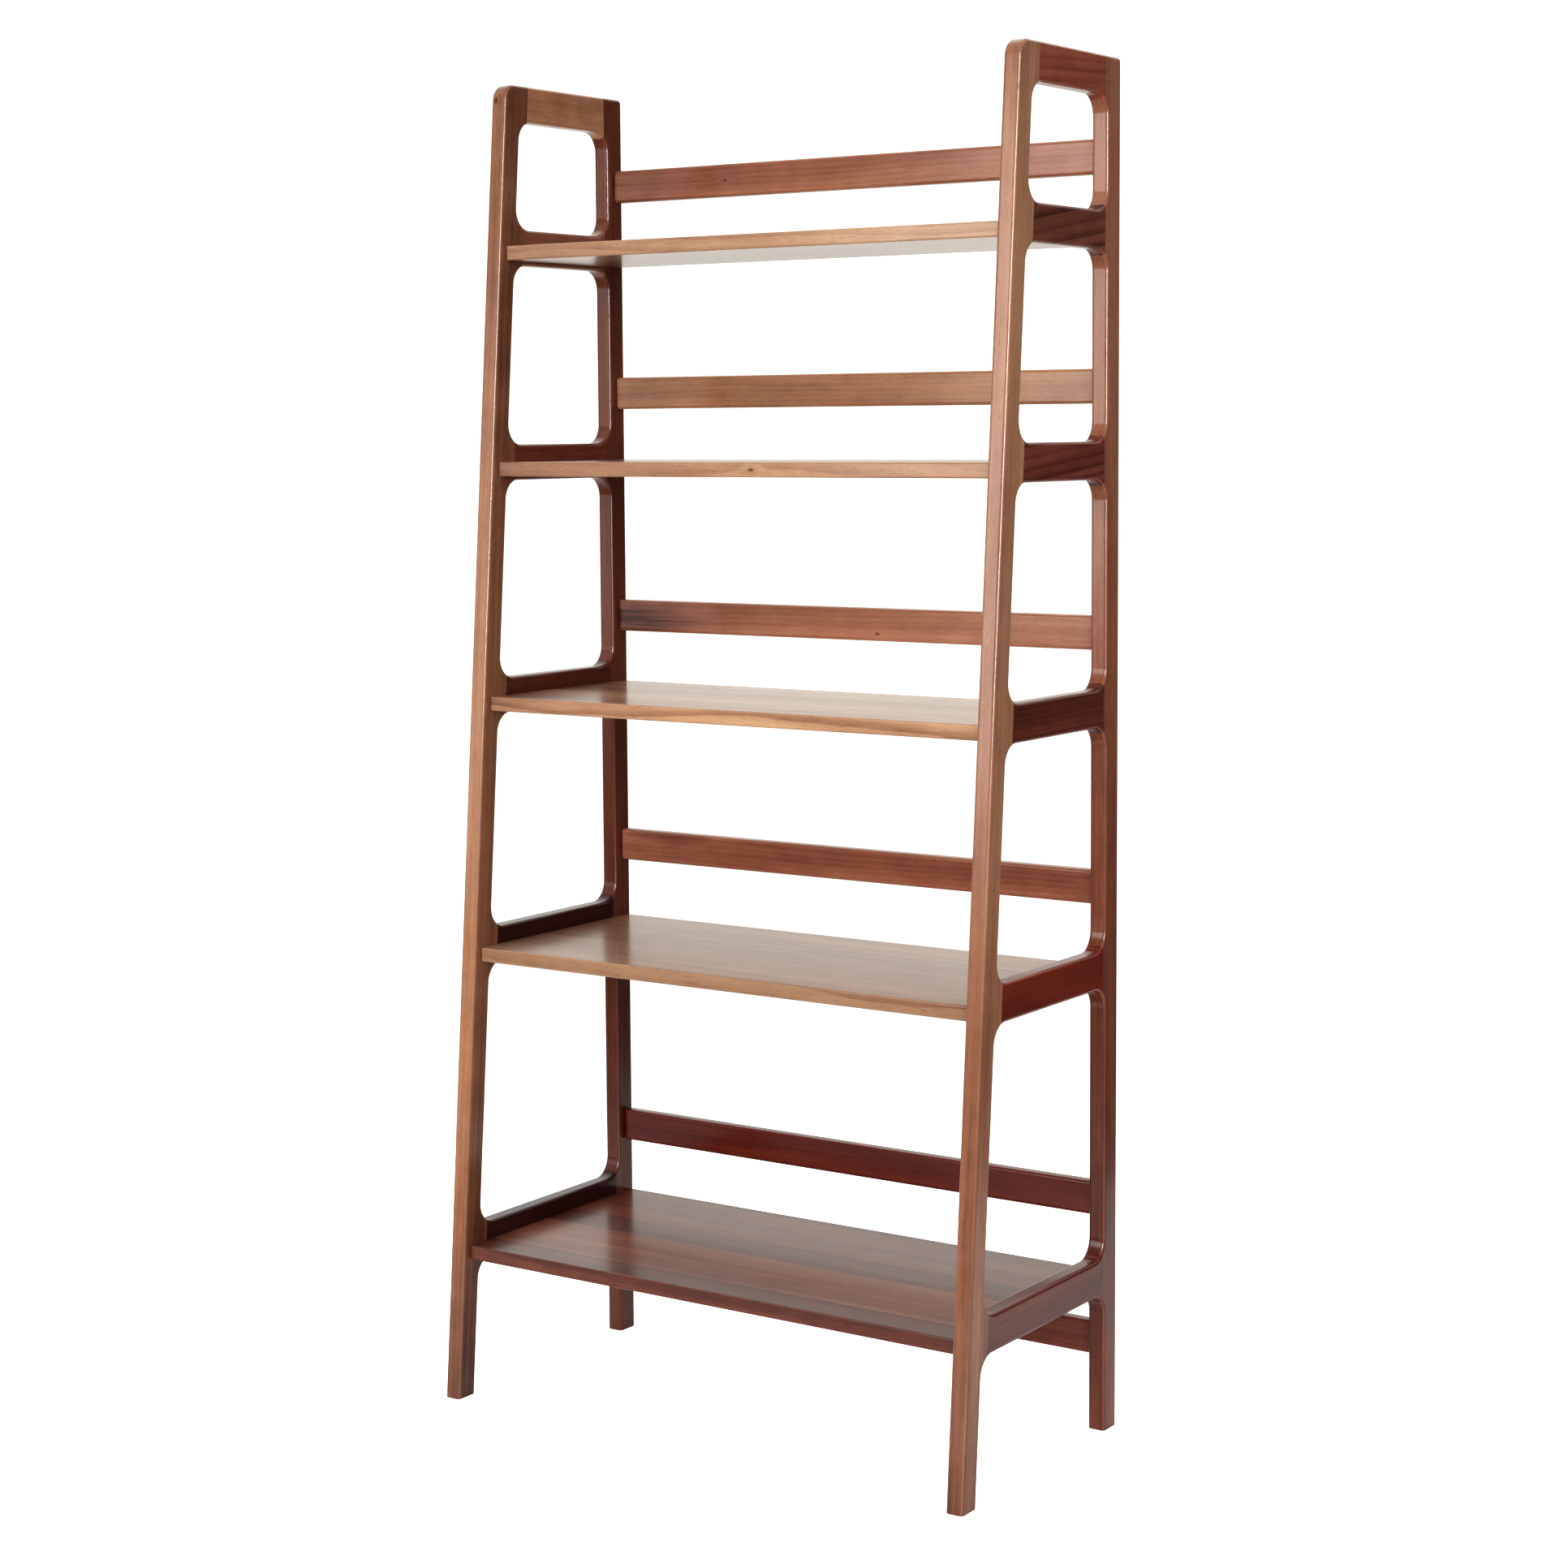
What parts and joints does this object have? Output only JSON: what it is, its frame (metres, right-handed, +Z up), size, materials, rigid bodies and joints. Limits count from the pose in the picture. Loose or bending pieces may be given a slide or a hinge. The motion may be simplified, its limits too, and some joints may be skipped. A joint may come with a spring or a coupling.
{
  "type": "ladder shelf",
  "caption": "Open ladder shelf in lacquered walnut, with raked front legs, windowed side frames, shelf boards that grow deeper downwards, and low back rails.",
  "frame": {"origin": "middle of the footprint, on the floor", "axes": "+Z up; +X towards the right side frame, seen from the front; -Y towards the front, where the raked legs stand; +Y towards the wall"},
  "size_m": [0.841, 0.412, 1.83],
  "materials": {
    "walnut_leg": "satin lacquer, grain along the leg",
    "walnut_rail": "satin lacquer, grain along the rail",
    "walnut_shelf": "satin lacquer, edge-glued strips with the grain along the board",
    "beech_dowel": "plain, glued in"
  },
  "bodies": {
    "root": {"left_front_leg": "walnut_leg", "left_back_leg": "walnut_leg", "left_top_rail": "walnut_rail", "left_side_rail_1": "walnut_rail", "left_side_rail_2": "walnut_rail", "left_side_rail_3": "walnut_rail", "left_side_rail_4": "walnut_rail", "left_side_rail_5": "walnut_rail", "right_front_leg": "walnut_leg", "right_back_leg": "walnut_leg", "right_top_rail": "walnut_rail", "right_side_rail_1": "walnut_rail", "right_side_rail_2": "walnut_rail", "right_side_rail_3": "walnut_rail", "right_side_rail_4": "walnut_rail", "right_side_rail_5": "walnut_rail", "shelf_1": "walnut_shelf", "shelf_2": "walnut_shelf", "shelf_3": "walnut_shelf", "shelf_4": "walnut_shelf", "shelf_5": "walnut_shelf", "back_rail_1": "walnut_rail", "back_rail_2": "walnut_rail", "back_rail_3": "walnut_rail", "back_rail_4": "walnut_rail", "back_rail_5": "walnut_rail", "back_rail_6": "walnut_rail", "dowel_1_left_front": "beech_dowel", "dowel_1_left_rear": "beech_dowel", "dowel_1_right_front": "beech_dowel", "dowel_1_right_rear": "beech_dowel", "dowel_2_left_front": "beech_dowel", "dowel_2_left_rear": "beech_dowel", "dowel_2_right_front": "beech_dowel", "dowel_2_right_rear": "beech_dowel", "dowel_3_left_front": "beech_dowel", "dowel_3_left_rear": "beech_dowel", "dowel_3_right_front": "beech_dowel", "dowel_3_right_rear": "beech_dowel", "dowel_4_left_front": "beech_dowel", "dowel_4_left_rear": "beech_dowel", "dowel_4_right_front": "beech_dowel", "dowel_4_right_rear": "beech_dowel", "dowel_5_left_front": "beech_dowel", "dowel_5_left_rear": "beech_dowel", "dowel_5_right_front": "beech_dowel", "dowel_5_right_rear": "beech_dowel"}
  },
  "joints": []
}
